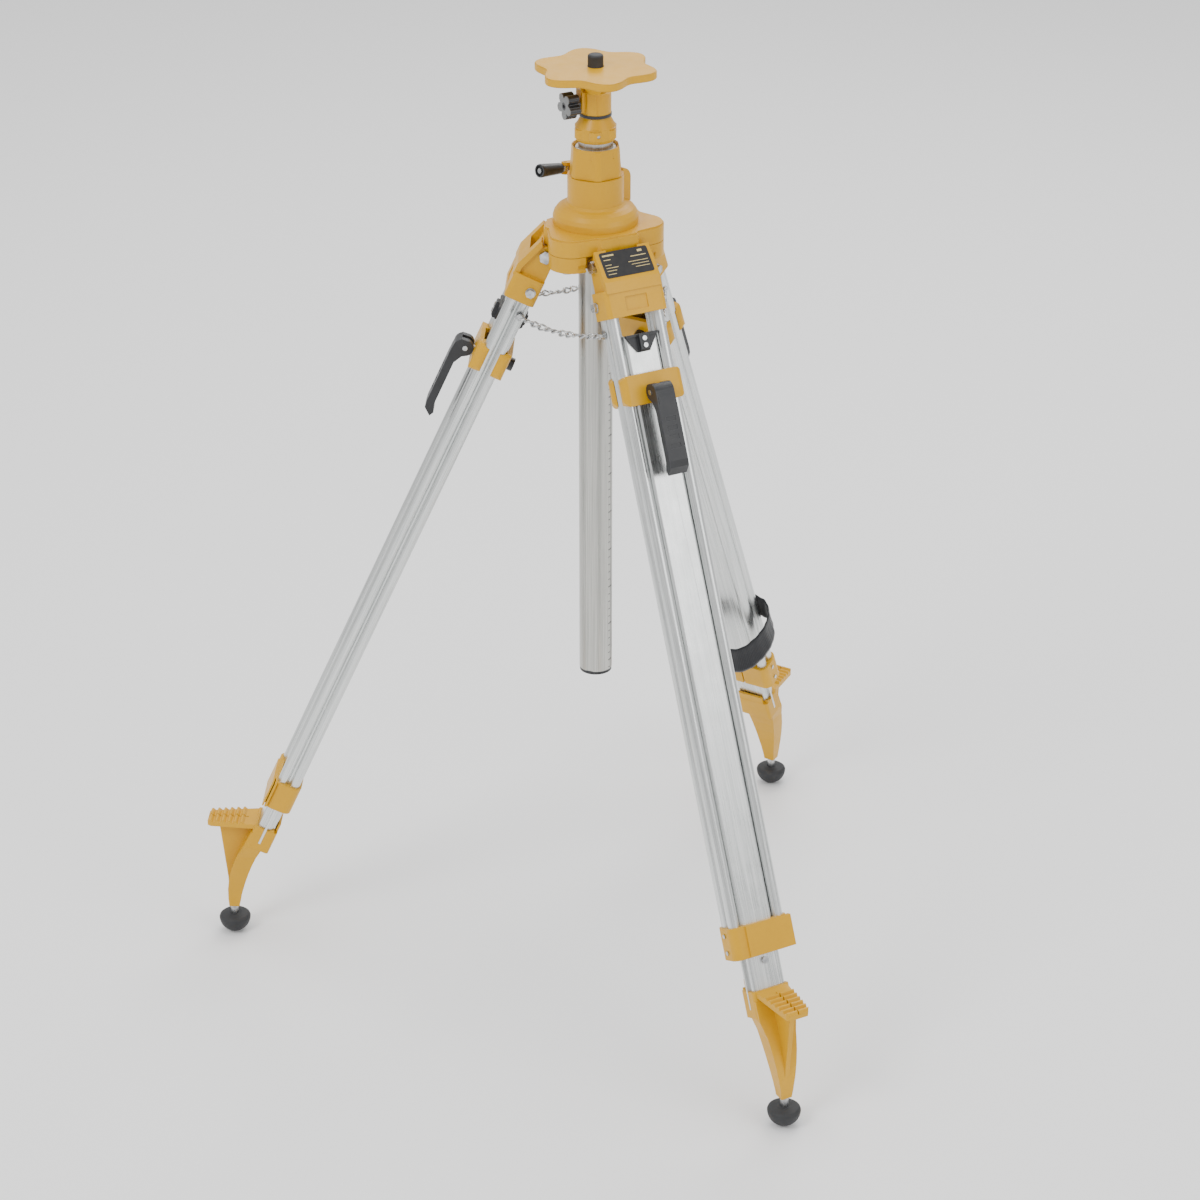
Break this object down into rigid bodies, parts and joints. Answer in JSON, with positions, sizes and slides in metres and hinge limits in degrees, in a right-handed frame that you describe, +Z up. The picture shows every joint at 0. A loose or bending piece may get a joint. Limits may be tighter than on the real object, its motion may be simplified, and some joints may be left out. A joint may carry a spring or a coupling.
{
  "type": "elevating surveyor tripod",
  "caption": "Aluminium surveying tripod with sliding-rail legs, cam clamps, spurred feet, restraint chains, and a crank-raised centre column under a lobed instrument plate.",
  "frame": {"origin": "centre of the instrument seat, the top face of the head plate, on the centre column's axis", "axes": "+Z up along the column, out of the seat; -X towards the left leg, whose vertical plane holds the X axis; the floor is the plane z = -1.156 m"},
  "size_m": [0.7486, 0.8638, 1.17],
  "materials": {
    "cast_yellow": "semi-gloss yellow enamel on die-cast alloy",
    "rail_alloy": "extruded, natural anodised, fine lengthwise lines",
    "tube_alloy": "drawn tube, natural anodised",
    "steel": "zinc-plated steel",
    "chain_steel": "zinc-plated twisted links",
    "black_plastic": "moulded black nylon, fine texture",
    "black_rubber": "moulded black rubber",
    "knob_grey": "moulded light grey plastic",
    "white_nylon": "natural nylon",
    "bronze": "sintered bronze",
    "black_webbing": "woven black nylon webbing"
  },
  "bodies": {
    "hub": {"hub_upper_casting": "cast_yellow", "hub_lower_casting": "cast_yellow", "hub_bolts": "steel", "gear_housing": "cast_yellow", "column_bush": "white_nylon", "crank_bushes": "bronze", "column_collet": "white_nylon", "leg_chains": "chain_steel"},
    "lock_ring": {"column_lock_ring": "cast_yellow"},
    "column": {"column_tube": "tube_alloy", "gear_rack": "steel", "column_pins": "steel", "column_head": "cast_yellow", "column_end_plug": "black_plastic"},
    "head": {"head_plate": "cast_yellow", "head_washer": "black_plastic", "instrument_stud": "steel"},
    "cap": {"thread_cap": "black_rubber"},
    "head_clamp": {"star_knob": "knob_grey", "star_screw": "steel"},
    "crank": {"pinion_shaft": "steel", "crank_arm": "cast_yellow"},
    "grip_post": {"grip_spindle": "steel"},
    "grip": {"crank_grip": "black_plastic"},
    "upper_leg_left": {"leg_head_left": "cast_yellow", "leg_rails_left": "rail_alloy", "leg_collar_left": "cast_yellow", "leg_bolts_left": "steel"},
    "lower_leg_left": {"inner_leg_left": "rail_alloy", "guide_blocks_left": "black_plastic", "clamp_plates_left": "cast_yellow", "slide_fixings_left": "steel", "foot_casting_left": "cast_yellow", "rubber_foot_left": "black_rubber"},
    "lever_left": {"clamp_lever_left": "black_plastic"},
    "upper_leg_front": {"leg_head_front": "cast_yellow", "leg_rails_front": "rail_alloy", "leg_collar_front": "cast_yellow", "leg_bolts_front": "steel"},
    "lower_leg_front": {"inner_leg_front": "rail_alloy", "guide_blocks_front": "black_plastic", "clamp_plates_front": "cast_yellow", "slide_fixings_front": "steel", "foot_casting_front": "cast_yellow", "rubber_foot_front": "black_rubber"},
    "lever_front": {"clamp_lever_front": "black_plastic"},
    "upper_leg_rear": {"leg_head_rear": "cast_yellow", "leg_rails_rear": "rail_alloy", "leg_collar_rear": "cast_yellow", "leg_bolts_rear": "steel", "closing_strap": "black_webbing"},
    "lower_leg_rear": {"inner_leg_rear": "rail_alloy", "guide_blocks_rear": "black_plastic", "clamp_plates_rear": "cast_yellow", "slide_fixings_rear": "steel", "foot_casting_rear": "cast_yellow", "rubber_foot_rear": "black_rubber"},
    "lever_rear": {"clamp_lever_rear": "black_plastic"}
  },
  "joints": [
    {"name": "column_lift", "type": "slide", "parent": "hub", "child": "column", "axis": [0, 0, 1], "range_m": [0, 0.46]},
    {"name": "crank_turn", "type": "hinge", "parent": "hub", "child": "crank", "pos_m": [0.02157, 0.02157, -0.138], "axis": [-0.7071, 0.7071, 0], "range_deg": [-3020, 3020]},
    {"name": "grip_fold", "type": "hinge", "parent": "crank", "child": "grip_post", "pos_m": [-0.03692, 0.03804, -0.13382], "axis": [-0.0984, -0.0984, -0.9903], "range_deg": [0, 90]},
    {"name": "grip_spin", "type": "hinge", "parent": "grip_post", "child": "grip", "pos_m": [-0.03692, 0.03804, -0.13382], "axis": [-0.7002, -0.7002, 0.1392], "continuous": true},
    {"name": "lock_ring_turn", "type": "hinge", "parent": "hub", "child": "lock_ring", "pos_m": [0, 0, -0.11], "axis": [0, 0, 1], "range_deg": [0, 60]},
    {"name": "head_turn", "type": "hinge", "parent": "column", "child": "head", "pos_m": [0, 0, -0.04], "axis": [0, 0, 1], "continuous": true},
    {"name": "star_knob_turn", "type": "hinge", "parent": "head", "child": "head_clamp", "pos_m": [-0.02571, -0.01545, -0.041], "axis": [-0.8572, -0.515, 0], "range_deg": [-180, 360]},
    {"name": "cap_lift", "type": "slide", "parent": "head", "child": "cap", "axis": [0, 0, 1], "range_m": [0, 0.05]},
    {"name": "leg_hinge_left", "type": "hinge", "parent": "hub", "child": "upper_leg_left", "pos_m": [-0.056, 0, -0.217], "axis": [0, -1, 0], "range_deg": [0, 24], "deforming": ["leg_chains"]},
    {"name": "leg_extend_left", "type": "slide", "parent": "upper_leg_left", "child": "lower_leg_left", "axis": [-0.4147, 0, -0.91], "range_m": [0, 0.48]},
    {"name": "clamp_left", "type": "hinge", "parent": "lower_leg_left", "child": "lever_left", "pos_m": [-0.15297, 0, -0.33985], "axis": [0, 1, 0], "range_deg": [0, 85]},
    {"name": "leg_hinge_front", "type": "hinge", "parent": "hub", "child": "upper_leg_front", "pos_m": [0.028, -0.0485, -0.217], "axis": [0.866, 0.5, 0], "range_deg": [0, 24]},
    {"name": "leg_extend_front", "type": "slide", "parent": "upper_leg_front", "child": "lower_leg_front", "axis": [0.2073, -0.3591, -0.91], "range_m": [0, 0.48]},
    {"name": "clamp_front", "type": "hinge", "parent": "lower_leg_front", "child": "lever_front", "pos_m": [0.07649, -0.13248, -0.33985], "axis": [-0.866, -0.5, 0], "range_deg": [0, 85]},
    {"name": "leg_hinge_rear", "type": "hinge", "parent": "hub", "child": "upper_leg_rear", "pos_m": [0.028, 0.0485, -0.217], "axis": [-0.866, 0.5, 0], "range_deg": [0, 24]},
    {"name": "leg_extend_rear", "type": "slide", "parent": "upper_leg_rear", "child": "lower_leg_rear", "axis": [0.2073, 0.3591, -0.91], "range_m": [0, 0.48]},
    {"name": "clamp_rear", "type": "hinge", "parent": "lower_leg_rear", "child": "lever_rear", "pos_m": [0.07649, 0.13248, -0.33985], "axis": [0.866, -0.5, 0], "range_deg": [0, 85]}
  ],
  "couplings": [
    {"joint": "crank_turn", "follows": "column_lift", "rad_per_m": 114.29}
  ]
}
